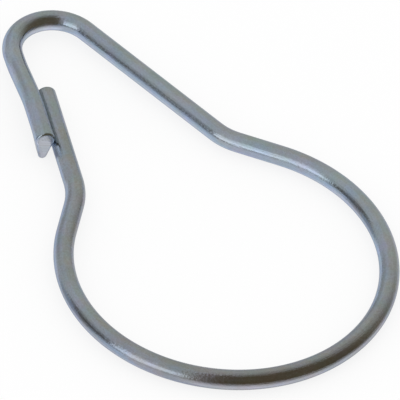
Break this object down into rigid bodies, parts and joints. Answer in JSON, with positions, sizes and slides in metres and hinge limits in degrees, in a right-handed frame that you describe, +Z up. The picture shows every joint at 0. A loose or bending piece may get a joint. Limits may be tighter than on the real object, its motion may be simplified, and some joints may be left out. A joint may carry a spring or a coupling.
{
  "type": "shower curtain ring",
  "caption": "Pear-shaped wire ring that carries a shower curtain on a rod: a large loop, legs that draw in to a small end bend, and a side catch with a pressed lip.",
  "frame": {"origin": "on the surface the ring lies on, under the middle of its outline", "axes": "+X along the ring towards the small end bend, +Y across it towards the catch, +Z up; the ring lies flat, leaning by about half a degree because the catch's lip reaches below the wire"},
  "size_m": [0.0688, 0.0424, 0.0043],
  "materials": {
    "plated_wire": "satin bright plating on drawn steel wire, with faint draw lines along it"
  },
  "bodies": {
    "root": {"wire_ring": "plated_wire"}
  },
  "joints": []
}
